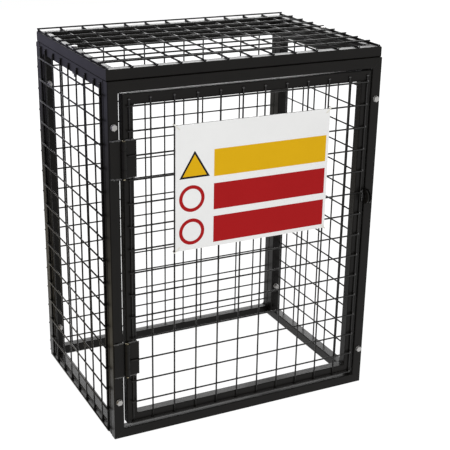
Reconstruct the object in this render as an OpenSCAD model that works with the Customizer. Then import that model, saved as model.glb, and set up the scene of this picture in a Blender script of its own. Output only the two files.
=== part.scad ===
// Gas cylinder cage: five welded panels of black square tube and wire mesh,
// bolted together round an open base, with one hinged and padlocked door.
// X runs across the front, Y from front to back, Z up; the floor is at Z = 0.

/* [Cage] */
// Width over the side tubes
cage_w = 700; // [500:10:1200]
// Depth over the front and back frames
cage_d = 500; // [400:10:900]
// Height to the top of the roof tubes
cage_h = 900; // [700:10:1500]
// How far the roof frame stops short of the front and of the back
roof_inset = 6; // [0:1:10]

/* [Tube] */
// Outside size of the square tube of the cage
tube = 25; // [20:1:35]
// Wall thickness of all tubes
tube_wall = 1.5; // [1:0.1:2]
// Outside corner radius of all tubes
tube_round = 2.5; // [2.2:0.1:4]

/* [Door] */
// Outside size of the square tube of the door
door_tube = 25; // [18:1:30]
// Gap between the hinge stile of the front frame and the door
hinge_gap = 9; // [8:0.5:25]
// Gap between the door and the lock stile of the front frame
lock_gap = 4; // [3:0.5:12]
// Gap over the door
door_top_gap = 4; // [4:0.5:15]
// Gap under the door
door_bottom_gap = 10; // [5:0.5:15]

/* [Wire mesh] */
// Diameter of the mesh wires
wire_d = 4; // [3:0.5:5]
// Depth that crossing wires are welded into each other
wire_weld = 0.5; // [0.3:0.1:0.8]
// Wanted distance between the roof's wires across its width
roof_pitch_x = 57.5; // [50:0.5:75]
// Distance between the roof's wires across its depth
roof_pitch_y = 53.6; // [50:0.1:60]
// Wanted distance between the inner upright wires of the side walls
side_pitch_y = 57.5; // [50:0.1:75]
// Wanted distance between the inner upright wires of the back wall
back_pitch_x = 57.2; // [50:0.5:75]
// Wanted distance between the inner upright wires of the door
door_pitch_x = 56.8; // [50:0.1:75]
// Wanted distance between the level wires of the walls
wall_pitch_z = 55.2; // [50:0.1:75]
// Wanted distance between the level wires of the door
door_pitch_z = 55.6; // [50:0.1:75]
// Distance of the outermost wires from the edge of the tubes they lie on
edge_wire = 5; // [4:0.5:8]
// Least distance from an outermost upright wire of a wall or door to the next
least_pitch = 35; // [30:1:45]
// Height of a side wall's lowest level wire; the back wall's mesh stands upside down
level_low = 12; // [8:1:30]
// Distance of a side wall's top level wire from the top of the wall
level_high = 36; // [30:1:50]
// Distances of a side wall's outermost uprights from the ends of its frame
side_front_edge = 16.5; // [8:0.5:30]
side_back_edge = 10.5; // [8:0.5:30]
// Distance of the back wall's outermost uprights from the sides of the cage
back_edge = 2.5; // [2:0.5:4]
// Distance of the door's last upright from the door's lock side
lock_edge = 11; // [6:0.5:15]
// Distance of the door mesh's first upright from the door's hinge side
hinge_edge = 14.5; // [10:0.5:20]
// Distance of the door mesh's top level wire from the door's top
door_level_top = 26; // [20:0.5:40]
// Height of the door mesh's upright ends over the top level wire
door_upright_end = 17; // [4:0.5:18]
// How far a wire's end stands past the last wire that it crosses
wire_end = 4; // [2:0.5:6]
// How far the upright wires reach over the top rails, past the top level wire
upright_end = 28; // [10:1:30]

/* [Hinges] */
// Length of each hinge leaf
leaf_h = 85; // [60:1:110]
// Thickness of the hinge leaves
leaf_t = 3; // [2:0.1:4]
// Outside diameter of the hinge barrel
barrel_d = 12.5; // [11:0.5:14]
// Diameter of the hinge pin
pin_d = 6; // [4:0.5:7]
// Running clearance of the pin in the door's knuckle, on the radius
pin_clear = 0.05; // [0.03:0.01:0.1]
// Distance of the hinge axis from the edge of the door
axis_off = 1; // [0:0.5:8]
// How far the door's leaf reaches over the inner edge of the door's tube
leaf_over = 5; // [0:0.5:6]
// Gap between the knuckles
knuckle_gap = 0.6; // [0.4:0.1:1]
// How far the pin stands out below the barrel
pin_tail = 4; // [3:0.5:12]
// Middle of the upper hinge, below the cage's top
upper_hinge_drop = 199; // [120:1:400]
// Height of the middle of the lower hinge
lower_hinge_z = 211; // [100:1:400]

/* [Padlock eyes] */
// Height of the padlock eyes
eye_z = 531; // [300:1:900]
// Outside diameter of each eye
eye_d = 36; // [30:1:44]
// Hole for the padlock's shackle
eye_hole_d = 14; // [12:0.5:20]
// Thickness of each eye
eye_t = 3; // [2.5:0.5:6]
// Distance of each eye from the edge of the tube that it sits on
eye_edge = 0.5; // [0:0.5:4]
// How much of each eye is cut off flat, to sit on the tube
eye_flat = 8; // [2:0.5:10]

/* [Sign plate] */
// Width of the sign plate
sign_w = 400; // [200:10:420]
// Height of the sign plate
sign_h = 300; // [150:10:420]
// Thickness of the sign plate
sign_t = 2; // [1.5:0.5:4]
// How far the sign plate's middle is from the door's middle, away from the hinges
sign_shift = 2.25; // [-20:0.25:20]
// Top edge of the sign plate, below the cage's top
sign_drop = 134; // [60:1:400]

/* [Fixings] */
// Thread diameter of the bolts
bolt_d = 8; // [6:1:10]
// Size of the bolt heads and nuts across their flats
hex_af = 13; // [11:1:17]
// Height of a bolt head
head_h = 5.3; // [4:0.1:7]
// Height of a nut
nut_h = 6.5; // [5:0.1:8]
// Diameter of the washers
washer_d = 15; // [14:1:20]
// Thickness of the washers
washer_t = 1.6; // [1:0.1:2.5]
// How far the thread stands out of a nut
bolt_tail = 8; // [4:0.5:12]
// Clearance of the bolts in the tubes, on the radius
bolt_clear = 0.25; // [0.2:0.05:0.5]
// Distance of the corner bolts from the floor and from the roof frame
bolt_end = 100; // [60:5:200]
// How far the roof bolts stand inside the middle of their rails, clear of the mesh
roof_bolt_in = 2.5; // [2:0.5:4]

/* [Hidden] */

// Sides of the prisms that stand for round mesh wires
wire_sides = 8;
// Two layers of crossing wires, from the tube's face to the outermost point
mesh_t = 2 * wire_d - wire_weld;
// Reach of the padlock eyes and of the bolts past the front and the back
front_reach = eye_d - eye_flat;
back_reach = washer_t + head_h;
// The frames stand so that the whole object's box is centred on the origin
front_y = -(cage_d + back_reach - front_reach) / 2;
back_y = front_y + cage_d;
left_x = -cage_w / 2;
right_x = cage_w / 2;
// The upright panels carry the roof frame
wall_h = cage_h - tube;
upper_hinge_z = cage_h - upper_hinge_drop;
sign_z = cage_h - sign_drop - sign_h;
side_d = cage_d - 2 * tube;
roof_d = cage_d - 2 * roof_inset;
roof_y = front_y + roof_inset;
// The door in the front frame
door_w = cage_w - 2 * tube - hinge_gap - lock_gap;
door_h = wall_h - 2 * tube - door_top_gap - door_bottom_gap;
door_x = left_x + tube + hinge_gap;
door_z = tube + door_bottom_gap;
door_right = door_x + door_w;
// The hinge barrels stand before the gap, their backs level with the tubes' faces
axis_x = door_x - axis_off;
axis_y = front_y - barrel_d / 2;
// The padlock eyes
eye_y = front_y - eye_d / 2 + eye_flat;
door_eye_x = door_right - eye_edge - eye_t;
frame_eye_x = right_x - tube + eye_edge;
// Corner bolts
bolt_x = cage_w / 2 - tube / 2;
bolt_zs = [bolt_end, wall_h - bolt_end];
roof_bolt_x = bolt_x - roof_bolt_in;

STEEL = [0.13, 0.12, 0.12];
WIRE = [0.2, 0.2, 0.2];
ZINC = [0.72, 0.73, 0.74];
PLATE = [0.92, 0.92, 0.91];

// A square with round corners, its lower left corner at the origin
module round_square(size, r) {
    translate([r, 0]) square([size - 2 * r, size]);
    translate([0, r]) square([size, size - 2 * r]);
    for (x = [r, size - r], y = [r, size - r]) translate([x, y]) circle(r = r, $fn = 24);
}

// A tube along X whose ends are mitred towards its inner side, which faces +Z
module mitred_tube(length, size) {
    inner = size - 2 * tube_wall;
    intersection() {
        rotate([90, 0, 90]) linear_extrude(length) difference() {
            round_square(size, tube_round);
            translate([tube_wall, tube_wall]) round_square(inner, tube_round - tube_wall);
        }
        translate([0, size + 1, 0]) rotate([90, 0, 0]) linear_extrude(size + 2)
            polygon([[0, 0], [length, 0], [length - size, size], [size, size]]);
    }
}

// One of the four tubes of a welded frame that stands in the XZ plane
module frame_tube(side, w, h, size) {
    if (side == "bottom") mitred_tube(w, size);
    if (side == "top") translate([0, 0, h]) mirror([0, 0, 1]) mitred_tube(w, size);
    if (side == "left") mirror([1, 0, -1]) mitred_tube(h, size);
    if (side == "right") translate([w, 0, 0]) mirror([1, 0, 0]) mirror([1, 0, -1]) mitred_tube(h, size);
}

// Where each welded frame stands
module in_front() { translate([left_x, front_y, 0]) children(); }
module in_back() { translate([left_x, back_y - tube, 0]) children(); }
module on_left() { translate([left_x, front_y + tube, 0]) mirror([1, -1, 0]) children(); }
module on_right() { translate([right_x - tube, front_y + tube, 0]) mirror([1, -1, 0]) children(); }
module on_roof() { translate([left_x, roof_y, wall_h]) mirror([0, 1, -1]) children(); }
module in_door() { translate([door_x, front_y, door_z]) children(); }

// A hole for a bolt along Y, at a place in the cage
module bolt_hole_y(x, z) {
    translate([x, front_y - 1, z]) rotate([-90, 0, 0])
        cylinder(r = bolt_d / 2 + bolt_clear, h = cage_d + 2, $fn = 32);
}

module corner_bolt_holes(x) {
    for (z = bolt_zs) bolt_hole_y(x, z);
}

// A hole for a bolt down through a roof rail and the rail under it
module roof_bolt_hole(x) {
    translate([x, roof_y + roof_d / 2, wall_h - tube - 1]) cylinder(r = bolt_d / 2 + bolt_clear, h = 2 * tube + 2, $fn = 32);
}

module front_frame_bottom_rail() { color(STEEL) in_front() frame_tube("bottom", cage_w, wall_h, tube); }
module front_frame_top_rail() { color(STEEL) in_front() frame_tube("top", cage_w, wall_h, tube); }
module front_frame_hinge_stile() {
    color(STEEL) difference() {
        in_front() frame_tube("left", cage_w, wall_h, tube);
        corner_bolt_holes(-bolt_x);
    }
}
module front_frame_lock_stile() {
    color(STEEL) difference() {
        in_front() frame_tube("right", cage_w, wall_h, tube);
        corner_bolt_holes(bolt_x);
    }
}
module back_frame_bottom_rail() { color(STEEL) in_back() frame_tube("bottom", cage_w, wall_h, tube); }
module back_frame_top_rail() { color(STEEL) in_back() frame_tube("top", cage_w, wall_h, tube); }
module back_frame_left_stile() {
    color(STEEL) difference() {
        in_back() frame_tube("left", cage_w, wall_h, tube);
        corner_bolt_holes(-bolt_x);
    }
}
module back_frame_right_stile() {
    color(STEEL) difference() {
        in_back() frame_tube("right", cage_w, wall_h, tube);
        corner_bolt_holes(bolt_x);
    }
}
module left_frame_bottom_rail() { color(STEEL) on_left() frame_tube("bottom", side_d, wall_h, tube); }
module left_frame_top_rail() {
    color(STEEL) difference() {
        on_left() frame_tube("top", side_d, wall_h, tube);
        roof_bolt_hole(-roof_bolt_x);
    }
}
module left_frame_front_stile() {
    color(STEEL) difference() {
        on_left() frame_tube("left", side_d, wall_h, tube);
        corner_bolt_holes(-bolt_x);
    }
}
module left_frame_back_stile() {
    color(STEEL) difference() {
        on_left() frame_tube("right", side_d, wall_h, tube);
        corner_bolt_holes(-bolt_x);
    }
}
module right_frame_bottom_rail() { color(STEEL) on_right() frame_tube("bottom", side_d, wall_h, tube); }
module right_frame_top_rail() {
    color(STEEL) difference() {
        on_right() frame_tube("top", side_d, wall_h, tube);
        roof_bolt_hole(roof_bolt_x);
    }
}
module right_frame_front_stile() {
    color(STEEL) difference() {
        on_right() frame_tube("left", side_d, wall_h, tube);
        corner_bolt_holes(bolt_x);
    }
}
module right_frame_back_stile() {
    color(STEEL) difference() {
        on_right() frame_tube("right", side_d, wall_h, tube);
        corner_bolt_holes(bolt_x);
    }
}
module roof_frame_front_rail() { color(STEEL) on_roof() frame_tube("bottom", cage_w, roof_d, tube); }
module roof_frame_back_rail() { color(STEEL) on_roof() frame_tube("top", cage_w, roof_d, tube); }
module roof_frame_left_rail() {
    color(STEEL) difference() {
        on_roof() frame_tube("left", cage_w, roof_d, tube);
        roof_bolt_hole(-roof_bolt_x);
    }
}
module roof_frame_right_rail() {
    color(STEEL) difference() {
        on_roof() frame_tube("right", cage_w, roof_d, tube);
        roof_bolt_hole(roof_bolt_x);
    }
}
module door_bottom_rail() { color(STEEL) in_door() frame_tube("bottom", door_w, door_h, door_tube); }
module door_top_rail() { color(STEEL) in_door() frame_tube("top", door_w, door_h, door_tube); }
module door_hinge_stile() { color(STEEL) in_door() frame_tube("left", door_w, door_h, door_tube); }
module door_lock_stile() { color(STEEL) in_door() frame_tube("right", door_w, door_h, door_tube); }

// Even places between two ends, as near as may be to the wanted pitch
function spread(a, b, pitch) = let (n = max(1, round((b - a) / pitch))) [for (i = [0:n]) a + (b - a) * i / n];

// Uprights: one at each end, and the others centred between them at the pitch
function uprights(a, b, pitch) =
    let (n = floor((b - a - 2 * least_pitch) / pitch))
    concat([a], [for (i = [0:n]) (a + b - n * pitch) / 2 + i * pitch], [b]);

// A straight wire along Z from the origin, a flat of its prism facing each way
module wire(length) {
    rotate([0, 0, 180 / wire_sides])
        cylinder(r = wire_d / 2 / cos(180 / wire_sides), h = length, $fn = wire_sides);
}

// A mesh on the -Y side of the XZ plane: the uprights at xs lie against the tubes,
// and the level wires at zs are welded over them, further out
module mesh_sheet(xs, zs, x0, x1, z0, z1) {
    for (x = xs) translate([x, -wire_d / 2, z0]) wire(z1 - z0);
    for (z = zs) translate([x0, wire_weld - wire_d * 3 / 2, z]) rotate([0, 90, 0]) wire(x1 - x0);
}

// The roof mesh lies on top, its wires from front to back under those across.
// The front rail stays bare, and the last wire across lies at the back edge.
module roof_mesh() {
    xs = spread(left_x + edge_wire, right_x - edge_wire, roof_pitch_x);
    n = floor((roof_d - tube * 2) / roof_pitch_y);
    ys = concat([for (i = [0:n - 1]) tube * 2 + i * roof_pitch_y], [roof_d - wire_d / 2]);
    color(WIRE) translate([0, roof_y, cage_h]) mirror([0, 1, -1]) mirror([0, 1, 0])
        mesh_sheet(xs, ys, xs[0] - wire_end, right_x - edge_wire + wire_end, wire_d / 2, roof_d);
}

// Heights of the level wires of a side wall, and of the ends of its uprights
wall_zs = spread(level_low, wall_h - level_high, wall_pitch_z);
wall_ends = [wire_d, wall_h - level_high + upright_end];

// The mesh of a side wall lies on its outer face, over the side frame alone
module side_mesh() {
    ys = uprights(side_front_edge, side_d - side_back_edge, side_pitch_y);
    mesh_sheet(ys, wall_zs, wire_d / 2, side_d - wire_d / 2, wall_ends[0], wall_ends[1]);
}

module left_mesh() {
    color(WIRE) translate([left_x, front_y + tube, 0]) mirror([1, -1, 0]) side_mesh();
}

// The right wall is the same panel as the left one, turned round
module right_mesh() {
    color(WIRE) translate([right_x, back_y - tube, 0]) rotate([0, 0, 180]) mirror([1, -1, 0]) side_mesh();
}

// The back mesh lies on the outer face of the back frame, clear of the bolt heads
module back_mesh() {
    x1 = right_x - back_edge;
    xs = uprights(-x1, x1, back_pitch_x);
    zs = [for (z = wall_zs) wall_h - z];
    color(WIRE) translate([0, back_y, 0]) rotate([0, 0, 180])
        mesh_sheet(xs, zs, -x1 - wire_d / 2, x1 + wire_d / 2, wall_h - wall_ends[1], wall_h - wall_ends[0]);
}

// The door's mesh lies on the front of the door's frame. Its level wires pass over
// the hinge leaves; the upright nearest the hinges stops short of each leaf.
module door_mesh() {
    x0 = door_x + hinge_edge - wire_end * 1.5;
    x1 = door_right - lock_edge + wire_d / 2;
    xs = uprights(door_x + hinge_edge, door_right - lock_edge, door_pitch_x);
    z0 = door_z + wire_d / 4;
    top = door_z + door_h - door_level_top;
    zs = spread(z0 + wire_d, top, door_pitch_z);
    gap = leaf_h + 4 * pin_clear + 2;
    color(WIRE) translate([0, front_y, 0]) difference() {
        mesh_sheet(xs, zs, x0, x1, z0, top + door_upright_end);
        for (z = [upper_hinge_z, lower_hinge_z])
            translate([xs[0] - wire_d, -wire_d, z - gap / 2]) cube([2 * wire_d, wire_d + 1, gap]);
    }
}

// A bolt along +Z through the given thickness, its head below and its nut above
module bolt_set(grip) {
    translate([0, 0, -washer_t - head_h]) cylinder(r = hex_af / 2 / cos(30), h = head_h, $fn = 6);
    translate([0, 0, -washer_t]) cylinder(d = washer_d, h = washer_t, $fn = 32);
    translate([0, 0, -washer_t]) cylinder(d = bolt_d, h = grip + 2 * washer_t + nut_h + bolt_tail, $fn = 32);
    translate([0, 0, grip]) cylinder(d = washer_d, h = washer_t, $fn = 32);
    translate([0, 0, grip + washer_t]) cylinder(r = hex_af / 2 / cos(30), h = nut_h, $fn = 6);
}

module front_bolts() {
    color(ZINC) for (x = [-bolt_x, bolt_x], z = bolt_zs)
        translate([x, front_y, z]) rotate([-90, 0, 0]) bolt_set(2 * tube);
}

module back_bolts() {
    color(ZINC) for (x = [-bolt_x, bolt_x], z = bolt_zs)
        translate([x, back_y, z]) rotate([90, 0, 0]) bolt_set(2 * tube);
}

module roof_bolts() {
    color(ZINC) for (x = [-roof_bolt_x, roof_bolt_x])
        translate([x, roof_y + roof_d / 2, cage_h]) rotate([180, 0, 0]) bolt_set(2 * tube);
}

// Knuckle lengths: the frame's leaf has the two outer ones, the door's leaf the middle one
middle_knuckle = leaf_h / 2;
outer_knuckle = (leaf_h - middle_knuckle) / 2 - knuckle_gap;

// A knuckle round the hinge axis, from z0 up
module knuckle(z0, length) {
    translate([axis_x, axis_y, z0]) difference() {
        cylinder(d = barrel_d, h = length, $fn = 48);
        translate([0, 0, -1]) cylinder(r = pin_d / 2 + pin_clear, h = length + 2, $fn = 48);
    }
}

// The leaf that is welded on the front frame's hinge stile
module frame_leaf(z) {
    low = z - leaf_h / 2;
    clear_r = barrel_d / 2 + knuckle_gap;
    color(STEEL) {
        difference() {
            translate([left_x + tube_round, front_y - leaf_t, low])
                cube([axis_x - left_x - tube_round, leaf_t, leaf_h]);
            translate([axis_x, axis_y, z - middle_knuckle / 2 - knuckle_gap])
                cylinder(r = clear_r, h = middle_knuckle + 2 * knuckle_gap, $fn = 48);
        }
        knuckle(low, outer_knuckle);
        knuckle(z + leaf_h / 2 - outer_knuckle, outer_knuckle);
    }
}

// The leaf that is welded on the door's hinge stile
module door_leaf(z) {
    low = z - leaf_h / 2;
    clear_r = barrel_d / 2 + knuckle_gap;
    color(STEEL) {
        difference() {
            translate([axis_x, front_y - leaf_t, low])
                cube([door_x + door_tube + leaf_over - axis_x, leaf_t, leaf_h]);
            for (z0 = [low - 1, z + middle_knuckle / 2])
                translate([axis_x, axis_y, z0])
                    cylinder(r = clear_r, h = (leaf_h - middle_knuckle) / 2 + 1, $fn = 48);
        }
        knuckle(z - middle_knuckle / 2, middle_knuckle);
    }
}

module hinge_pin(z) {
    color(ZINC) translate([axis_x, axis_y, z - leaf_h / 2 - pin_tail])
        cylinder(d = pin_d, h = leaf_h + pin_tail + 1, $fn = 48);
}

module upper_frame_leaf() { frame_leaf(upper_hinge_z); }
module lower_frame_leaf() { frame_leaf(lower_hinge_z); }
module upper_door_leaf() { door_leaf(upper_hinge_z); }
module lower_door_leaf() { door_leaf(lower_hinge_z); }
module upper_hinge_pin() { hinge_pin(upper_hinge_z); }
module lower_hinge_pin() { hinge_pin(lower_hinge_z); }

// A round eye for a padlock, standing out from the face that it is welded to
module padlock_eye(x) {
    color(STEEL) translate([x, eye_y, eye_z]) rotate([0, 90, 0]) difference() {
        cylinder(d = eye_d, h = eye_t, $fn = 64);
        translate([0, 0, -1]) cylinder(d = eye_hole_d, h = eye_t + 2, $fn = 64);
        translate([-eye_d, eye_d / 2 - eye_flat, -1]) cube([2 * eye_d, eye_d, eye_t + 2]);
    }
}

module frame_padlock_eye() { padlock_eye(frame_eye_x); }
module door_padlock_eye() { padlock_eye(door_eye_x); }

// The plain sign plate, tied flat against the door's mesh
module sign_plate() {
    color(PLATE) translate([(door_x + door_right - sign_w) / 2 + sign_shift, front_y - mesh_t - sign_t, sign_z])
        cube([sign_w, sign_t, sign_h]);
}

front_frame_bottom_rail();
front_frame_top_rail();
front_frame_hinge_stile();
front_frame_lock_stile();
back_frame_bottom_rail();
back_frame_top_rail();
back_frame_left_stile();
back_frame_right_stile();
left_frame_bottom_rail();
left_frame_top_rail();
left_frame_front_stile();
left_frame_back_stile();
right_frame_bottom_rail();
right_frame_top_rail();
right_frame_front_stile();
right_frame_back_stile();
roof_frame_front_rail();
roof_frame_back_rail();
roof_frame_left_rail();
roof_frame_right_rail();
roof_mesh();
left_mesh();
right_mesh();
back_mesh();
front_bolts();
back_bolts();
roof_bolts();
upper_frame_leaf();
lower_frame_leaf();
upper_hinge_pin();
lower_hinge_pin();
frame_padlock_eye();
door_bottom_rail();
door_top_rail();
door_hinge_stile();
door_lock_stile();
door_mesh();
upper_door_leaf();
lower_door_leaf();
door_padlock_eye();
sign_plate();
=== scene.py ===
# %% [markdown]
# # Gas cylinder cage
# Five welded panels of black square tube and wire mesh are bolted together round an
# open base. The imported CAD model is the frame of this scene: its tubes, hinge leaves
# and sign plate stay as they are and get their finishes here. The wire mesh, bolts,
# weld beads, ties and printed colours are built on top of it, in metres.

# %% Load the frame
import math
import random

import bmesh
import bpy
from mathutils import Matrix, Vector


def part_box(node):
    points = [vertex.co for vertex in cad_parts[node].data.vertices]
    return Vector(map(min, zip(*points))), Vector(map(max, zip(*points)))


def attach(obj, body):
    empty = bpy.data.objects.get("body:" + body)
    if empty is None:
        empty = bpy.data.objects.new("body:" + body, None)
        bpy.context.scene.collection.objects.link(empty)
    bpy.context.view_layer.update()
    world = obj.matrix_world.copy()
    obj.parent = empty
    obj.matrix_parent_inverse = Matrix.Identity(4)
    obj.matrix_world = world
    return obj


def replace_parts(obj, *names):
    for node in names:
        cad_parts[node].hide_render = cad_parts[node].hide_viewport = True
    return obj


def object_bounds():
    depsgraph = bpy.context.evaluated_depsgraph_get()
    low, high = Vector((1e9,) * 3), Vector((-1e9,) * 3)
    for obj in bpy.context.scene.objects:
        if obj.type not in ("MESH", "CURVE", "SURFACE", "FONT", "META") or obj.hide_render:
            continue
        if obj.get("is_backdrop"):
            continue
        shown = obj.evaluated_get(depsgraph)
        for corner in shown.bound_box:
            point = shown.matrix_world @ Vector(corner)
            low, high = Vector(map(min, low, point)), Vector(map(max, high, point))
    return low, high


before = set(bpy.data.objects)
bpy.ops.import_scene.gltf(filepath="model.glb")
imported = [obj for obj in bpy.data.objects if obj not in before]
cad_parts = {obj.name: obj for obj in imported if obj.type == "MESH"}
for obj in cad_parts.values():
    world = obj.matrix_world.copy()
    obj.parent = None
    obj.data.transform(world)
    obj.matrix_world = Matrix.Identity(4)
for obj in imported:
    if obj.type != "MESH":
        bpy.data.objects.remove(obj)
cad_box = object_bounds()
MM = 0.001
rng = random.Random(11)

# %% [markdown]
# Every size below is read off the frame, so the pieces land where the tubes are. The
# stock sizes, such as the wire and the tube, are the ones that the cage is made from.

# %% Driving sizes
tube = 25 * MM
door_tube = 25 * MM
wire_d = 4 * MM
weld_depth = 0.5 * MM
bottom_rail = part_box("front_frame_bottom_rail")
left_x, front_y = bottom_rail[0].x, bottom_rail[0].y
right_x = bottom_rail[1].x
back_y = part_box("back_frame_bottom_rail")[1].y
wall_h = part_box("front_frame_top_rail")[1].z
roof_front, roof_back = (c.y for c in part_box("roof_frame_left_rail"))
cage_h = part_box("roof_frame_left_rail")[1].z
door_x, door_right = (c.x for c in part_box("door_top_rail"))
door_z, door_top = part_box("door_bottom_rail")[0].z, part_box("door_top_rail")[1].z
print("cage mm:", [round(v / MM) for v in (right_x - left_x, back_y - front_y, cage_h)])

# %% [markdown]
# The camera stands left of the cage and above it, as the photographer did. Its place
# was worked out from the tube corners, so the cage stands in the picture as it does
# in the photograph.

# %% Camera
camera_left = 1123 * MM
camera_before_front = 2090.4 * MM
camera_height = 1388.2 * MM
camera_turn = (68.762, -0.921, -26.328)
camera_data = bpy.data.cameras.new("camera")
camera_data.sensor_width = 36
camera_data.lens = 85.16
camera_data.shift_x = 0.0076
camera_data.shift_y = 0.0282
camera = bpy.data.objects.new("camera", camera_data)
camera.location = (-camera_left, front_y - camera_before_front, camera_height)
camera.rotation_euler = [math.radians(v) for v in camera_turn]
bpy.context.scene.collection.objects.link(camera)
bpy.context.scene.camera = camera
print("camera", [round(v, 3) for v in camera.location])

# %% [markdown]
# Materials are node trees. One small function adds a node with its settings and links,
# and another turns the hex colours that people read into the linear ones that light
# is counted in.

# %% Node and colour helpers


def add(tree, kind, inputs=(), **settings):
    """A node of that kind: settings are its own properties, inputs are values or links."""
    node = tree.nodes.new(kind)
    for name, value in settings.items():
        setattr(node, name, value)
    for name, value in dict(inputs).items():
        if isinstance(value, bpy.types.NodeSocket):
            tree.links.new(value, node.inputs[name])
        else:
            node.inputs[name].default_value = value
    return node


def linear(hex_colour):
    """An sRGB hex colour as a linear RGBA value."""
    parts = [int(hex_colour[i : i + 2], 16) / 255 for i in (1, 3, 5)]
    return [p / 12.92 if p < 0.04045 else ((p + 0.055) / 1.055) ** 2.4 for p in parts] + [1]


def new_material(name):
    """An empty material with its shader joined to the output: (material, tree, shader)."""
    material = bpy.data.materials.new(name)
    material.use_nodes = True
    tree = material.node_tree
    tree.nodes.clear()
    shader = add(tree, "ShaderNodeBsdfPrincipled")
    add(tree, "ShaderNodeOutputMaterial", {"Surface": shader.outputs[0]})
    return material, tree, shader


def lumps(tree, size, detail=2.0):
    """Soft noise whose lumps are about that size in metres, from the object's own place."""
    place = add(tree, "ShaderNodeTexCoord").outputs["Object"]
    return add(tree, "ShaderNodeTexNoise", {"Vector": place, "Scale": 1 / size, "Detail": detail})


def bump(tree, shader, height, distance):
    """Lets a height value tilt the shader's normal by that distance in metres."""
    node = add(tree, "ShaderNodeBump", {"Height": height, "Distance": distance, "Strength": 1.0})
    tree.links.new(node.outputs[0], shader.inputs["Normal"])


def between(tree, value, low, high):
    """The value, which runs from 0 to 1, spread over low to high."""
    return add(
        tree, "ShaderNodeMapRange", {"Value": value, "To Min": low, "To Max": high}
    ).outputs[0]


def two_tones(tree, value, first, second):
    """A colour between two hex colours, by a value from 0 to 1."""
    mix = add(tree, "ShaderNodeMix", {"Factor": value}, data_type="RGBA")
    mix.inputs["A"].default_value = linear(first)
    mix.inputs["B"].default_value = linear(second)
    return mix.outputs["Result"]


# %% [markdown]
# The cage is finished in black polyester powder coat: a plastic powder baked on after
# welding. It flows into a satin skin with a faint orange peel, lumps 1 to 3 mm across,
# that looks black face on and turns pale where it is seen at a low angle, as on the
# tops of the tubes. The IOR starts from 1.5; its specular level is then matched. On
# wire and weld beads the powder melts thicker and glossier, so they catch more light.

# %% Powder coat


def powder_coat(name, roughness, peel, sheen):
    material, tree, shader = new_material(name)
    patches = lumps(tree, 60 * MM)
    colour = two_tones(tree, patches.outputs["Fac"], "#0B0A09", "#151311")
    tree.links.new(colour, shader.inputs["Base Color"])
    shader.inputs["IOR"].default_value = 1.5
    shader.inputs["Specular IOR Level"].default_value = sheen
    rough = between(tree, patches.outputs["Fac"], roughness - 0.05, roughness + 0.05)
    tree.links.new(rough, shader.inputs["Roughness"])
    bump(tree, shader, lumps(tree, 2.2 * MM, 1.0).outputs["Fac"], peel)
    return material


coat = powder_coat("black_powder_coat", 0.34, 0.05 * MM, 0.14)
wire_coat = powder_coat("black_powder_coat_on_wire", 0.32, 0.02 * MM, 0.26)
weld_coat = powder_coat("black_powder_coat_on_welds", 0.22, 0.04 * MM, 1.0)

# %% [markdown]
# Bolts, washers, nuts and hinge pins are zinc plated steel: a bright bluish grey metal
# with faint yellowish stains from the clear passivation. The sign is a sheet of white
# rigid PVC, its colours screen printed in flat ink, held by natural nylon ties.

# %% Zinc plate, sign board, inks and nylon


def zinc_plate(name, light, dark):
    material, tree, shader = new_material(name)
    stains = lumps(tree, 4 * MM).outputs["Fac"]
    tree.links.new(two_tones(tree, stains, light, dark), shader.inputs["Base Color"])
    shader.inputs["Metallic"].default_value = 1.0
    tree.links.new(between(tree, stains, 0.28, 0.42), shader.inputs["Roughness"])
    return material


def rigid_plastic(name, light, dark, roughness, grain, sheen=0.5):
    """A moulded, printed or cast plastic with a slight unevenness in tone and surface."""
    material, tree, shader = new_material(name)
    patches = lumps(tree, 90 * MM).outputs["Fac"]
    tree.links.new(two_tones(tree, patches, light, dark), shader.inputs["Base Color"])
    shader.inputs["IOR"].default_value = 1.5
    shader.inputs["Specular IOR Level"].default_value = sheen
    shader.inputs["Roughness"].default_value = roughness
    bump(tree, shader, lumps(tree, grain, 1.0).outputs["Fac"], 0.01 * MM)
    return material


zinc = zinc_plate("clear_zinc_plate", "#B4B3B4", "#9C9A95")
yellow_zinc = zinc_plate("yellow_zinc_plate", "#C4BBA0", "#A79E84")
board = rigid_plastic("white_rigid_pvc", "#EFEFEE", "#E6E6E5", 0.42, 1.5 * MM)
yellow_ink = rigid_plastic("yellow_screen_ink", "#DEAE10", "#D8A80E", 0.5, 1 * MM, 0.08)
red_ink = rigid_plastic("red_screen_ink", "#A8171A", "#A01417", 0.5, 1 * MM, 0.08)
black_ink = rigid_plastic("black_screen_ink", "#1A1A1C", "#131314", 0.5, 1 * MM, 0.08)
nylon = rigid_plastic("natural_nylon", "#E8E6DE", "#DAD6CA", 0.35, 0.8 * MM)
print("materials:", len(bpy.data.materials))

# %% [markdown]
# The tubes, hinge leaves and padlock eyes keep their CAD shape. Only their finish is
# new: each CAD node has one material slot, which is given the powder coat.

# %% Finish the CAD nodes
coated = [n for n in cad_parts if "rail" in n or "stile" in n or "leaf" in n or "eye" in n]
for name in coated:
    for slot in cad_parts[name].material_slots:
        slot.material = coat
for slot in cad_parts["sign_plate"].material_slots:
    slot.material = board
print("coated nodes:", len(coated))

# %% [markdown]
# Small parts are built as bmesh: a few helpers lay down round rods, prisms and turned
# shapes in one mesh, and one function makes the finished object and ties it to a body.

# %% Mesh helpers


def piece(name, mesh_data, body, material, smooth=30):
    """Turns a bmesh into an object that rides on that body."""
    mesh = bpy.data.meshes.new(name)
    bmesh.ops.recalc_face_normals(mesh_data, faces=mesh_data.faces)
    mesh_data.to_mesh(mesh)
    mesh_data.free()
    mesh.materials.append(material)
    mesh.shade_smooth()
    mesh.set_sharp_from_angle(angle=math.radians(smooth))
    made = bpy.data.objects.new(name, mesh)
    bpy.context.scene.collection.objects.link(made)
    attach(made, body)
    return made


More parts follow.
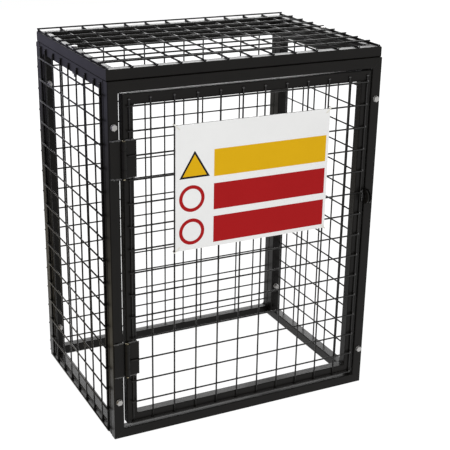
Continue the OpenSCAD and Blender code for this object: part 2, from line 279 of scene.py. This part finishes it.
def loft(mesh_data, rings, closed=False):
    """Joins rings of points into one skin, its ends capped or, if closed, joined up."""
    made = [[mesh_data.verts.new(p) for p in ring] for ring in rings]
    for lower, upper in zip(made, made[1:] + made[:1] if closed else made[1:]):
        for i in range(len(lower)):
            j = (i + 1) % len(lower)
            mesh_data.faces.new((lower[i], lower[j], upper[j], upper[i]))
    if not closed:
        mesh_data.faces.new(list(reversed(made[0])))
        mesh_data.faces.new(made[-1])


def turned(mesh_data, start, along, profile, sides=12, turn=0.0):
    """A closed turned shape: profile is a list of (distance along, radius) from start."""
    along = along.normalized()
    across = along.orthogonal().normalized()
    other = along.cross(across)
    angles = [2 * math.pi * i / sides + turn for i in range(sides)]
    spokes = [across * math.cos(a) + other * math.sin(a) for a in angles]
    loft(mesh_data, [[start + along * d + s * radius for s in spokes] for d, radius in profile])


def rod(mesh_data, a, b, diameter, sides=12):
    """A round wire between two points, its cut ends slightly rounded."""
    r, length = diameter / 2, (b - a).length
    edge = r * 0.25
    profile = [(0, r - edge), (edge, r), (length - edge, r), (length, r - edge)]
    turned(mesh_data, a, b - a, profile, sides)


def bead(mesh_data, centre, along, length, radius, sides=8):
    """A small rounded lump of weld, longest in the along direction."""
    half = length / 2
    profile = [(-half, radius * 0.3), (-half * 0.75, radius * 0.75), (0, radius)]
    profile += [(half * 0.75, radius * 0.75), (half, radius * 0.3)]
    turned(mesh_data, centre, along, profile, sides)


def bead_run(mesh_data, a, b, radius):
    """A short run of weld: overlapping lumps of uneven size from a to b."""
    steps = max(1, round((b - a).length / (radius * 1.2)))
    for i in range(steps + 1):
        wobble = Vector([rng.uniform(-0.35, 0.35) * radius for axis in range(3)])
        size = radius * rng.uniform(0.75, 1.25)
        bead(mesh_data, a.lerp(b, i / steps) + wobble, b - a, radius * 2.6, size, 10)


# %% [markdown]
# ## Wire mesh
# Welded mesh is made of straight drawn wires, laid crosswise and pressed into each
# other at every crossing by resistance welding. The CAD wires are plain prisms, so
# round wires with cut ends and a small squeezed lump at each weld stand for them. The
# layout repeats the cage's own: the same pitches, from the same tube edges.

# %% Mesh layout


def spread(a, b, pitch):
    """Even places from a to b, as near as may be to the wanted pitch."""
    n = max(1, round((b - a) / pitch))
    return [a + (b - a) * i / n for i in range(n + 1)]


edge_wire = 5 * MM
wire_end = 4 * MM
least_pitch = 35 * MM
wall_pitch_z = 55.2 * MM


def uprights(a, b, pitch):
    """One upright at each end, and the others centred between them at the pitch."""
    n = int((b - a - 2 * least_pitch) / pitch)
    return [a] + [(a + b - n * pitch) / 2 + i * pitch for i in range(n + 1)] + [b]


def wire_sheet(name, node, body, place, xs, zs, x0, x1, z0, z1, cuts=(), uneven=0.0):
    """A welded mesh. place(x, out, z) gives a point, out being the distance from the tubes.

    cuts are (x, from z, to z) stretches left out of an upright. If there is an uneven
    length, the level wires' far ends are cut short by up to that and have a burr. The
    uprights' ends are tacked to the tubes."""
    mesh_data = bmesh.new()
    tacks = bmesh.new()
    inner, outer = wire_d / 2, wire_d * 1.5 - weld_depth
    level, upward = place(1, 0, 0) - place(0, 0, 0), place(0, 0, 1) - place(0, 0, 0)
    welds = 0
    for x in xs:
        ends = [z0]
        for cut_x, low, high in cuts:
            if abs(cut_x - x) < wire_d:
                ends += [low, high]
        ends.append(z1)
        for low, high in zip(ends[::2], ends[1::2]):
            rod(mesh_data, place(x, inner, low), place(x, inner, high), wire_d)
            for z in zs:
                if low < z < high:
                    centre = place(x, (inner + outer) / 2, z)
                    bead(mesh_data, centre, level, wire_d * 1.3, wire_d * 0.58, 8)
                    welds += 1
        for z in (z0 + wire_d * 0.6, z1 - wire_d * 0.6):
            bead(tacks, place(x, wire_d * 0.5, z), level, wire_d * 1.6, wire_d * 0.56, 10)
    for z in zs:
        end = x1 - rng.uniform(0, uneven)
        rod(mesh_data, place(x0, outer, z), place(end, outer, z), wire_d)
        if uneven:
            bead(tacks, place(end - wire_d / 2, outer, z + wire_d * 0.4), upward, wire_d * 1.5, wire_d * 0.52, 10)
    piece(name + "_tacks", tacks, body, weld_coat, 60)
    made = piece(name, mesh_data, body, wire_coat, 50)
    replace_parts(made, node)
    print(name, len(xs), "uprights,", len(zs), "level wires,", welds, "welds")
    return made


# %% Roof, side and back meshes
roof_xs = spread(left_x + edge_wire, right_x - edge_wire, 57.5 * MM)
roof_pitch_y = 53.6 * MM
roof_d = roof_back - roof_front
roof_zs = [tube * 2 + i * roof_pitch_y for i in range(int((roof_d - tube * 2) / roof_pitch_y))]
roof_zs.append(roof_d - wire_d / 2)
wire_sheet(
    "roof_wires", "roof_mesh", "cage",
    lambda x, out, z: Vector((x, roof_front + z, cage_h + out)),
    roof_xs, roof_zs, roof_xs[0] - wire_end, roof_xs[-1] + wire_end, wire_d / 2, roof_d,
)  # fmt: skip

level_low, level_high, upright_end = 12 * MM, 36 * MM, 28 * MM
wall_zs = spread(level_low, wall_h - level_high, wall_pitch_z)
wall_low, wall_high = wire_d, wall_h - level_high + upright_end
side_d = back_y - front_y - 2 * tube
side_xs = uprights(16.5 * MM, side_d - 10.5 * MM, 57.5 * MM)
sides = (("left", left_x, front_y + tube, 1), ("right", right_x, back_y - tube, -1))
for side, node_x, node_y, turn in sides:
    wire_sheet(
        side + "_wires", side + "_mesh", "cage",
        lambda x, out, z: Vector((node_x - out * turn, node_y + x * turn, z)),
        side_xs, wall_zs, wire_d / 2, side_d - wire_d / 2, wall_low, wall_high,
    )  # fmt: skip

back_x1 = right_x - 2.5 * MM
wire_sheet(
    "back_wires", "back_mesh", "cage",
    lambda x, out, z: Vector((x, back_y + out, z)),
    uprights(-back_x1, back_x1, 57.2 * MM), [wall_h - z for z in wall_zs],
    -back_x1 - wire_d / 2, back_x1 + wire_d / 2, wall_h - wall_high, wall_h - wall_low,
)  # fmt: skip

# %% [markdown]
# The door's mesh lies on the front of its frame. The level wires pass over the hinge
# leaves, and the upright nearest the hinges stops short of each leaf.

# %% Door mesh
upper_leaf, lower_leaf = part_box("upper_door_leaf"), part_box("lower_door_leaf")
last_x = door_right - 11 * MM
first_x = door_x + 14.5 * MM
door_x0 = first_x - wire_end * 1.5
door_xs = uprights(first_x, last_x, 56.8 * MM)
door_z0, door_z1 = door_z + wire_d / 4, door_top - 26 * MM
leaf_gap = 1.1 * MM
cuts = [(door_xs[0], leaf[0].z - leaf_gap, leaf[1].z + leaf_gap) for leaf in (lower_leaf, upper_leaf)]
wire_sheet(
    "door_wires", "door_mesh", "door",
    lambda x, out, z: Vector((x, front_y - out, z)),
    door_xs, spread(door_z0 + wire_d, door_z1, 55.6 * MM), door_x0, last_x + wire_d / 2,
    door_z0, door_z1 + 17 * MM, cuts, 1.5 * MM,
)  # fmt: skip

# %% [markdown]
# ## Welds
# The panels are welded up from mitred tube. Each inner corner has a hollow fillet of
# weld through the tube's depth, which rounds the corner off, and each mitre has a low
# dressed seam on both faces. The hinge leaves are held by runs of weld along their
# upper and lower edges, and the padlock eyes by a run along the side that can be seen.

# %% Panel welds
AXES = (Vector((1, 0, 0)), Vector((0, 1, 0)), Vector((0, 0, 1)))
bite = 0.4 * MM


def fillet(mesh_data, corner, a, b, depth, leg):
    """A hollow weld fillet along depth, in the corner between the directions a and b."""
    rings = []
    for i in range(13):
        size = leg * rng.uniform(0.92, 1.08) * (0.8 if i in (0, 12) else 1)
        centre = corner + depth * i / 12
        ring = [centre - (a + b) * bite, centre + a * size - b * bite]
        for j in range(6):
            angle = j / 5 * math.pi / 2
            ring.append(centre + a * size * (1 - math.sin(angle)) + b * size * (1 - math.cos(angle)))
        rings.append(ring + [centre + b * size - a * bite])
    loft(mesh_data, rings)


def seam(mesh_data, start, end, normal, width):
    """A low dressed weld seam on a flat face."""
    along = end - start
    across = normal.cross(along).normalized() * width / 2
    rings = []
    for i in range(15):
        centre = start + along * i / 14
        rise = normal * rng.uniform(0.15, 0.4) * MM
        sunk = normal * bite
        rings.append([centre - across - sunk, centre - across * 0.5 + rise, centre + across * 0.5 + rise,
                      centre + across - sunk])
    loft(mesh_data, rings)


def panel_welds(body, nodes, width, leg):
    """Fillets and mitre seams for the four tubes of one welded panel."""
    boxes = [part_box(node) for node in nodes]
    low = [min(b[0][i] for b in boxes) for i in range(3)]
    high = [max(b[1][i] for b in boxes) for i in range(3)]
    flat = min(range(3), key=lambda i: high[i] - low[i])
    u, v = [i for i in range(3) if i != flat]
    mesh_data = bmesh.new()
    for su in (1, -1):
        for sv in (1, -1):
            outer = AXES[u] * (low[u] if su > 0 else high[u]) + AXES[v] * (low[v] if sv > 0 else high[v])
            inward = AXES[u] * su + AXES[v] * sv
            corner = outer + inward * width + AXES[flat] * (low[flat] + 2 * MM)
            fillet(mesh_data, corner, AXES[u] * su, AXES[v] * sv, AXES[flat] * (width - 4 * MM), leg)
            for face, side in ((low[flat], -1), (high[flat], 1)):
                start, end = (outer + inward * d + AXES[flat] * face for d in (2 * MM, width - 1 * MM))
                seam(mesh_data, start, end, AXES[flat] * side, 4 * MM)
    return piece(nodes[0].rsplit("_", 2)[0] + "_welds", mesh_data, body, coat, 60)


panels = {}
for name in coated:
    if name.endswith(("_rail", "_stile")):
        panel = name.split("_frame_")[0] if "_frame_" in name else "door"
        panels.setdefault(panel, []).append(name)
for panel, nodes in sorted(panels.items()):
    leg = {"front": 4 * MM, "door": 4.5 * MM}.get(panel, 8 * MM)
    panel_welds("door" if panel == "door" else "cage", nodes, door_tube if panel == "door" else tube, leg)
print("welded panels:", {panel: len(nodes) for panel, nodes in panels.items()})

# %% Hinge and eye welds
for body, leaves, x0, x1 in (
    ("cage", ("upper_frame_leaf", "lower_frame_leaf"), left_x + 5 * MM, left_x + tube + 1 * MM),
    ("door", ("upper_door_leaf", "lower_door_leaf"), door_x + 5 * MM, door_x + door_tube - 3 * MM),
):
    runs = bmesh.new()
    for leaf in leaves:
        low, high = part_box(leaf)
        for z in (low.z - 1 * MM, high.z + 1 * MM):
            a, b = (Vector((x, front_y - 1.2 * MM, z)) for x in (x0, x1))
            bead_run(runs, a, b, 2.6 * MM)
    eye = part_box("door_padlock_eye" if body == "door" else "frame_padlock_eye")
    x = eye[0].x - 0.8 * MM if body == "door" else eye[1].x + 0.8 * MM
    a, b = (Vector((x, front_y - 0.8 * MM, (eye[0].z + eye[1].z) / 2 + d)) for d in (-13 * MM, 13 * MM))
    bead_run(runs, a, b, 2 * MM)
    piece(body + "_fitting_welds", runs, body, weld_coat, 60)

# %% [markdown]
# Each hinge turns on a yellow plated pin, its domed head on top of the barrel and its
# chamfered end standing out below.

# %% Hinge pins
pin_r, head_r, head_rise = 3 * MM, 4.6 * MM, 2 * MM
for name in ("upper_hinge_pin", "lower_hinge_pin"):
    low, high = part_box(name)
    length = high.z - low.z - 1 * MM
    profile = [(0, pin_r * 0.6), (0.9 * MM, pin_r), (length, pin_r), (length + 0.05 * MM, head_r * 0.96)]
    profile += [(length + head_rise * 0.45, head_r), (length + head_rise * 0.8, head_r * 0.8)]
    profile.append((length + head_rise, head_r * 0.4))
    pin = bmesh.new()
    turned(pin, Vector(((low.x + high.x) / 2, (low.y + high.y) / 2, low.z)), AXES[2], profile, 24)
    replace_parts(piece(name + "_turned", pin, "cage", yellow_zinc, 40), name)
    print(name, "length mm:", round((length + head_rise) / MM, 1))

# %% [markdown]
# ## Bolts
# The panels are joined by M8 set screws. Each has a chamfered hex head on a washer,
# and on the far side a washer, a nut and a few turns of thread that stand out of it.

# %% Bolts
hex_r = 13 * MM / 2 / math.cos(math.pi / 6)
head_h, nut_h, tail = 5.3 * MM, 6.5 * MM, 8 * MM
washer_r, washer_t, bolt_r = 7.5 * MM, 1.6 * MM, 4 * MM
thread_pitch = 1.25 * MM


def hex_block(mesh_data, start, along, height, chamfer_far=True, turn=0.0):
    """A hex nut or head: a hexagonal prism whose far corners are turned off."""
    edge = 0.8 * MM
    profile = [(0, hex_r), (height - edge, hex_r), (height, hex_r - edge * 1.6)]
    if not chamfer_far:
        profile = [(0, hex_r - edge), (edge * 0.5, hex_r), (height, hex_r)]
    turned(mesh_data, start, along, profile, 6, turn)


def washer(mesh_data, start, along):
    edge = 0.3 * MM
    profile = [(0, washer_r), (washer_t - edge, washer_r), (washer_t, washer_r - edge)]
    turned(mesh_data, start, along, profile, 28)


def set_screw(mesh_data, face, inward, grip, turn):
    """Head and washer on the face, nut and thread on the far side of what it holds."""
    washer(mesh_data, face, -inward)
    hex_block(mesh_data, face - inward * washer_t, -inward, head_h, turn=turn)
    far = face + inward * grip
    washer(mesh_data, far, inward)
    hex_block(mesh_data, far + inward * washer_t, inward, nut_h, turn=turn + 0.4)
    ridges = int(tail / thread_pitch)
    profile = [(-3 * MM, bolt_r)]
    for i in range(ridges):
        z = i * thread_pitch
        profile += [(z, bolt_r * 0.86), (z + thread_pitch / 2, bolt_r)]
    profile += [(ridges * thread_pitch, bolt_r * 0.86), (tail, bolt_r * 0.7)]
    turned(mesh_data, far + inward * (washer_t + nut_h), inward, profile, 16)


bolt_x = right_x - tube / 2
bolt_end = 100 * MM
inset = 2.5 * MM
roof_mid = (roof_front + roof_back) / 2
corners = [(x, z) for x in (-bolt_x, bolt_x) for z in (bolt_end, wall_h - bolt_end)]
bolt_groups = {
    "front": ([Vector((x, front_y, z)) for x, z in corners], Vector((0, 1, 0))),
    "back": ([Vector((x, back_y, z)) for x, z in corners], Vector((0, -1, 0))),
    "roof": ([Vector((x, roof_mid, cage_h)) for x in (inset - bolt_x, bolt_x - inset)], -AXES[2]),
}
for group, (faces, inward) in bolt_groups.items():
    bolts = bmesh.new()
    for i, face in enumerate(faces):
        set_screw(bolts, face, inward, 2 * tube, 0.3 + 0.5 * i)
    made = piece(group + "_set_screws", bolts, "cage", zinc, 25)
    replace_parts(made, group + "_bolts")
    print(group, "set screws:", len(faces))

# %% [markdown]
# ## Sign
# The plate's print is built as thin slabs of ink with nothing written on them: a
# yellow band and two red ones, a black edged yellow triangle and two red rings. They
# are placed from the plate's lower left corner. Ties of natural nylon go through the
# plate near its corners and round the wires behind.

# %% Sign print
plate_low, plate_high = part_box("sign_plate")
ink_t = 0.12 * MM


def on_plate(x, z, out):
    """A point on the plate, x and z in mm from its lower left corner, out in metres."""
    return Vector((plate_low.x + x * MM, plate_low.y - out, plate_low.z + z * MM))


def slab(mesh_data, outline, rise=ink_t):
    """A flat patch of ink with that outline."""
    loft(mesh_data, [[on_plate(x, z, out) for x, z in outline] for out in (-bite / 4, rise)])


def printed(name, ink, *outlines, rise=ink_t, rings=()):
    mesh_data = bmesh.new()
    for outline in outlines:
        slab(mesh_data, outline, rise)
    for x, z, outer_r, inner_r in rings:
        sections = []
        for i in range(72):
            angle = 2 * math.pi * i / 72
            c, n = math.cos(angle), math.sin(angle)
            corners = ((outer_r, -bite / 4), (outer_r, rise), (inner_r, rise), (inner_r, -bite / 4))
            sections.append([on_plate(x + r * c, z + r * n, out) for r, out in corners])
        loft(mesh_data, sections, closed=True)
    return piece(name, mesh_data, "door", ink, 30)


def band(low, high):
    return [(96.3, low), (392.8, low), (392.8, high), (96.3, high)]


def triangle(drawn_in):
    """The warning triangle's outline, drawn in from its edge by that many mm."""
    middle, foot, half, height = 47.5, 174.0, 38.2, 64.0
    top_drop = drawn_in * math.hypot(half, height) / half
    new_half = half * (height - drawn_in - top_drop) / height
    base = foot + drawn_in
    return [(middle - new_half, base), (middle + new_half, base), (middle, foot + height - top_drop)]


printed("yellow_band", yellow_ink, band(171.5, 236))
red_rings = ((40.8, 125, 32, 23.6), (40.8, 44.6, 32, 23.6))
printed("red_bands", red_ink, band(91, 154.5), band(10, 74.5), rings=red_rings)
printed("triangle_edge", black_ink, triangle(0))
printed("triangle_field", yellow_ink, triangle(4.6), rise=ink_t * 2)

# %% Sign ties


def tie(mesh_data, hole, outward):
    """A flat tie: a closed loop through a hole in the plate and round the wires behind it."""
    reach, radius, band_t = 18 * MM, 1.6 * MM, 1 * MM
    front, back = plate_low.y - band_t / 2, front_y + band_t * 0.7
    across = outward.cross(AXES[1]).normalized() * 1.3 * MM
    rings = []
    for s, y, turn in ((reach, front, 0), (reach, back, 1), (0, back, 2), (0, front, 3)):
        centre_s = s - radius if s else radius
        centre_y = y + radius if y == front else y - radius
        for i in range(5):
            angle = (turn + i / 4) * math.pi / 2
            spoke = outward * math.sin(angle) - AXES[1] * math.cos(angle)
            middle = hole + outward * centre_s
            middle.y = centre_y
            inner, outer = (middle + spoke * (radius + d) for d in (-band_t / 2, band_t / 2))
            rings.append([inner - across, outer - across, outer + across, inner + across])
    loft(mesh_data, rings, closed=True)
    head = hole + outward * 7 * MM
    head.y = back + 1.4 * MM
    along, aside = outward * 2.6 * MM, across.normalized() * 2.3 * MM
    corners = [-along - aside, along - aside, along + aside, aside - along]
    loft(mesh_data, [[head + c + AXES[1] * y * MM for c in corners] for y in (-1.2, 1.8)])


ties = bmesh.new()
hole_in = 10 * MM
for x, sx in ((plate_low.x, -1), (plate_high.x, 1)):
    for z, sz in ((plate_low.z, -1), (plate_high.z, 1)):
        hole = Vector((x - sx * hole_in, 0, z - sz * hole_in))
        tie(ties, hole, Vector((sx, 0, sz)).normalized())
piece("sign_ties", ties, "door", nylon, 40)
print("sign mm:", [round(v / MM) for v in plate_high - plate_low])

# %% [markdown]
# ## Studio
# A white floor and a white surround. Light Path lets the camera and the reflections
# see plain white there, while the light on the cage stays at a plain level. One wide
# soft lamp high behind the cage gives the tops of the tubes their pale sheen, and a
# flag on the left keeps the cage's left faces dark in their reflections.

# %% Floor, world and lamps


def seen_directly(tree):
    """1 for a camera, glossy or transmission ray, and 0 for the light on the object."""
    path = add(tree, "ShaderNodeLightPath").outputs
    first = {0: path["Is Camera Ray"], 1: path["Is Glossy Ray"]}
    mirrored = add(tree, "ShaderNodeMath", first, operation="MAXIMUM").outputs[0]
    second = {0: mirrored, 1: path["Is Transmission Ray"]}
    return add(tree, "ShaderNodeMath", second, operation="MAXIMUM").outputs[0]


def white_floor():
    material, tree, shader = new_material("white_studio_floor")
    shader.inputs["Base Color"].default_value = linear("#E0E0E0")
    shader.inputs["Roughness"].default_value = 0.9
    shader.inputs["Specular IOR Level"].default_value = 0.0
    glow = add(tree, "ShaderNodeEmission", {"Color": (1, 1, 1, 1), "Strength": 1.14})
    mix = add(tree, "ShaderNodeMixShader", {0: between(tree, seen_directly(tree), 0.0, 0.84)})
    tree.links.new(shader.outputs[0], mix.inputs[1])
    tree.links.new(glow.outputs[0], mix.inputs[2])
    output = next(n for n in tree.nodes if n.type == "OUTPUT_MATERIAL")
    tree.links.new(mix.outputs[0], output.inputs["Surface"])
    return material


floor_half = 6.0
floor_data = bpy.data.meshes.new("floor")
floor_corners = [(x, y, 0) for x, y in ((-1, -1), (1, -1), (1, 1), (-1, 1))]
floor_data.from_pydata([Vector(c) * floor_half for c in floor_corners], [], [(0, 1, 2, 3)])
floor_data.materials.append(white_floor())
floor = bpy.data.objects.new("floor", floor_data)
bpy.context.scene.collection.objects.link(floor)
floor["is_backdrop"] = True

world = bpy.data.worlds.new("white_surround")
world.use_nodes = True
bpy.context.scene.world = world
world.node_tree.nodes.clear()
strength = between(world.node_tree, seen_directly(world.node_tree), 0.85, 1.0)
surround = add(world.node_tree, "ShaderNodeBackground", {"Color": (1, 1, 1, 1), "Strength": strength})
add(world.node_tree, "ShaderNodeOutputWorld", {"Surface": surround.outputs[0]})


def soft_lamp(name, place, size, watts):
    """A square soft lamp that looks at the middle of the cage."""
    data = bpy.data.lights.new(name, "AREA")
    data.size, data.energy = size, watts
    lamp = bpy.data.objects.new(name, data)
    lamp.location = place
    lamp.rotation_euler = (Vector((0, 0, 0.45)) - Vector(place)).to_track_quat("-Z", "Y").to_euler()
    lamp.visible_camera = False
    bpy.context.scene.collection.objects.link(lamp)
    return lamp


soft_lamp("lamp_behind", (1.6, 4.2, 2.2), 3.0, 110)
soft_lamp("lamp_front_left", (-2.6, -2.8, 2.6), 1.6, 40)


def dark_flag(place, width, height, tones):
    """An upright board that only reflections can see, its tones given as (height, colour)."""
    material = bpy.data.materials.new("flag_cloth")
    material.use_nodes = True
    tree = material.node_tree
    tree.nodes.clear()
    up = add(tree, "ShaderNodeSeparateXYZ", {0: add(tree, "ShaderNodeTexCoord").outputs["Generated"]})
    ramp = add(tree, "ShaderNodeValToRGB", {"Fac": up.outputs["Z"]})
    ramp.color_ramp.elements.new(0.5)
    for stop, (tone_height, colour) in zip(ramp.color_ramp.elements, tones):
        stop.position = tone_height / height
        stop.color = linear(colour)
    glow = add(tree, "ShaderNodeEmission", {"Color": ramp.outputs["Color"], "Strength": 1.0})
    add(tree, "ShaderNodeOutputMaterial", {"Surface": glow.outputs[0]})
    data = bpy.data.meshes.new("dark_flag")
    y, z = width / 2, height
    data.from_pydata([(0, -y, 0), (0, y, 0), (0, y, z), (0, -y, z)], [], [(0, 1, 2, 3)])
    data.materials.append(material)
    flag = bpy.data.objects.new("dark_flag", data)
    flag.location = place
    flag.visible_camera = False
    flag.visible_diffuse = False
    flag.visible_shadow = False
    flag.visible_transmission = False
    bpy.context.scene.collection.objects.link(flag)
    flag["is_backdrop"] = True
    return flag


flag_tones = ((0.15, "#D2C8B2"), (0.5, "#7C7A79"), (0.8, "#B4B2CA"))
dark_flag((left_x - 0.1, 0.7, 0.01), 2.6, 1.5, flag_tones)
bpy.context.scene.view_settings.view_transform = "Standard"

# %% Measure and finish
seen_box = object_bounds()
growth = [(seen_box[1][i] - seen_box[0][i] - cad_box[1][i] + cad_box[0][i]) / MM for i in range(3)]
print("box grows by mm:", [round(g, 1) for g in growth])
